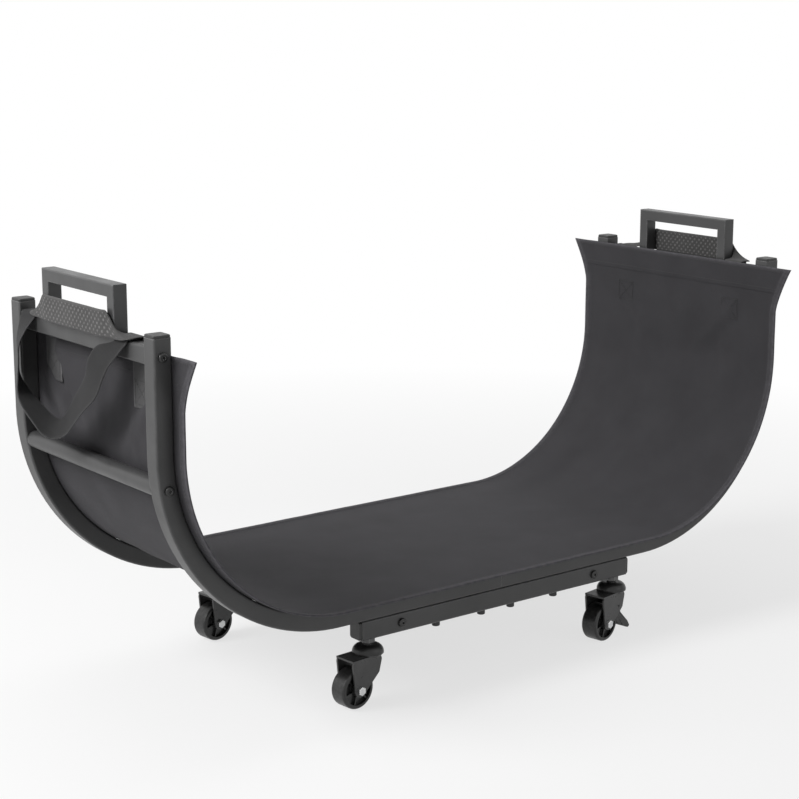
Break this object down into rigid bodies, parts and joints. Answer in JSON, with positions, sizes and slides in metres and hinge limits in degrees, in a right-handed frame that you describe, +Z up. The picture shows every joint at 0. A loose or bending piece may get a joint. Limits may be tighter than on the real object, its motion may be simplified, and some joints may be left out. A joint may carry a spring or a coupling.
{
  "type": "firewood rack",
  "caption": "U-shaped steel firewood rack: bent tube hoops, cross tubes, fixed end handles, lift-out canvas log tote with straps, on swivel casters with brake pedals.",
  "frame": {"origin": "on the floor, under the middle of the rack", "axes": "+X along the rack's length towards the end with the brake pedals, -Y towards the front of the picture, +Z up"},
  "size_m": [1.0934, 0.442, 0.5445],
  "materials": {
    "powder_coat": "satin",
    "bare_steel": "satin",
    "black_plastic": "matte",
    "black_bolt": "satin",
    "zinc": "satin",
    "caster_yoke": "satin",
    "wheel_tread": "matte",
    "canvas": "matte",
    "webbing": "matte",
    "grip_fabric": "matte"
  },
  "bodies": {
    "frame": {"hoop_front_left": "powder_coat", "hoop_front_right": "powder_coat", "hoop_splice_front": "bare_steel", "base_beam_front": "powder_coat", "hoop_back_left": "powder_coat", "hoop_back_right": "powder_coat", "hoop_splice_back": "bare_steel", "base_beam_back": "powder_coat", "crossbar_left": "powder_coat", "tie_tube_left": "powder_coat", "base_cross_tube_left": "powder_coat", "handle_left": "powder_coat", "crossbar_right": "powder_coat", "tie_tube_right": "powder_coat", "base_cross_tube_right": "powder_coat", "handle_right": "powder_coat", "upright_plugs": "black_plastic", "beam_end_plugs": "black_plastic", "crossbar_bolts": "black_bolt", "tie_tube_bolts": "black_bolt", "base_cross_bolts": "black_bolt", "beam_bolts": "black_bolt", "caster_stems": "zinc"},
    "swivel_fl": {"caster_fl_fork": "caster_yoke", "caster_fl_axle": "zinc"},
    "wheel_fl": {"caster_fl_wheel": "wheel_tread"},
    "swivel_fr": {"caster_fr_fork": "caster_yoke", "caster_fr_axle": "zinc"},
    "wheel_fr": {"caster_fr_wheel": "wheel_tread"},
    "brake_fr": {"caster_fr_brake_pedal": "black_plastic"},
    "swivel_bl": {"caster_bl_fork": "caster_yoke", "caster_bl_axle": "zinc"},
    "wheel_bl": {"caster_bl_wheel": "wheel_tread"},
    "swivel_br": {"caster_br_fork": "caster_yoke", "caster_br_axle": "zinc"},
    "wheel_br": {"caster_br_wheel": "wheel_tread"},
    "brake_br": {"caster_br_brake_pedal": "black_plastic"},
    "tote": {"tote_canvas": "canvas", "tote_tabs_left": "webbing", "tote_grip_webbing_left": "webbing", "tote_grip_pad_left": "grip_fabric", "tote_strap_left": "webbing", "tote_tabs_right": "webbing", "tote_grip_webbing_right": "webbing", "tote_grip_pad_right": "grip_fabric", "tote_strap_right": "webbing"}
  },
  "joints": [
    {"name": "swivel_fl", "type": "hinge", "parent": "frame", "child": "swivel_fl", "pos_m": [-0.208, -0.1615, 0.0655], "axis": [0, 0, 1], "continuous": true},
    {"name": "wheel_fl", "type": "hinge", "parent": "swivel_fl", "child": "wheel_fl", "pos_m": [-0.2339, -0.16377, 0.025], "axis": [0.0872, -0.9962, 0], "continuous": true},
    {"name": "swivel_fr", "type": "hinge", "parent": "frame", "child": "swivel_fr", "pos_m": [0.208, -0.1615, 0.0655], "axis": [0, 0, 1], "continuous": true},
    {"name": "wheel_fr", "type": "hinge", "parent": "swivel_fr", "child": "wheel_fr", "pos_m": [0.1824, -0.16601, 0.025], "axis": [0.1736, -0.9848, 0], "continuous": true},
    {"name": "brake_fr", "type": "hinge", "parent": "swivel_fr", "child": "brake_fr", "pos_m": [0.20603, -0.16185, 0.0445], "axis": [0.1736, -0.9848, 0], "range_deg": [0, 25]},
    {"name": "swivel_bl", "type": "hinge", "parent": "frame", "child": "swivel_bl", "pos_m": [-0.208, 0.1615, 0.0655], "axis": [0, 0, 1], "continuous": true},
    {"name": "wheel_bl", "type": "hinge", "parent": "swivel_bl", "child": "wheel_bl", "pos_m": [-0.23381, 0.15833, 0.025], "axis": [0.1219, -0.9925, 0], "continuous": true},
    {"name": "swivel_br", "type": "hinge", "parent": "frame", "child": "swivel_br", "pos_m": [0.208, 0.1615, 0.0655], "axis": [0, 0, 1], "continuous": true},
    {"name": "wheel_br", "type": "hinge", "parent": "swivel_br", "child": "wheel_br", "pos_m": [0.18214, 0.15878, 0.025], "axis": [0.1045, -0.9945, 0], "continuous": true},
    {"name": "brake_br", "type": "hinge", "parent": "swivel_br", "child": "brake_br", "pos_m": [0.20601, 0.16129, 0.0445], "axis": [0.1045, -0.9945, 0], "range_deg": [0, 25]},
    {"name": "tote_lift", "type": "slide", "parent": "frame", "child": "tote", "axis": [0, 0, 1], "range_m": [0, 0.45]}
  ]
}
